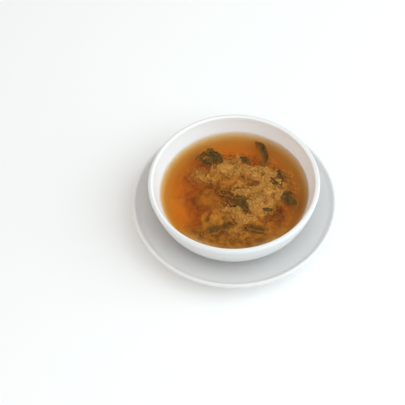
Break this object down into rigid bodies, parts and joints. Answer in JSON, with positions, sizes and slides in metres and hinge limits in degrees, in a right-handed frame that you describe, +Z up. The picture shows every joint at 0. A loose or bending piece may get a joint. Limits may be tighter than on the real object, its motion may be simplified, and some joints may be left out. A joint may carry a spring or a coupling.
{
  "type": "miso soup in a bowl on a saucer",
  "caption": "Orange-brown miso soup with drifting miso clouds and wakame leaves, in a round white porcelain bowl that stands on its matching coupe saucer.",
  "frame": {"origin": "on the common axis of bowl and saucer, in the plane that the saucer's foot ring stands on", "axes": "+Z up along that axis, +X to the right and -Y towards the front as the soup is seen: two leaves float at the back left and back right, one at the right"},
  "size_m": [0.155, 0.155, 0.0462],
  "materials": {
    "porcelain": "gloss",
    "broth": "polished",
    "miso": "matte",
    "wakame": "satin"
  },
  "bodies": {
    "root": {"saucer": "porcelain", "bowl": "porcelain", "soup": "broth", "miso_cloud": "miso", "wakame_back_left": "wakame", "wakame_back_right": "wakame", "wakame_back_small": "wakame", "wakame_mid_right": "wakame", "wakame_right": "wakame", "wakame_centre": "wakame", "wakame_front_bit": "wakame"}
  },
  "joints": []
}
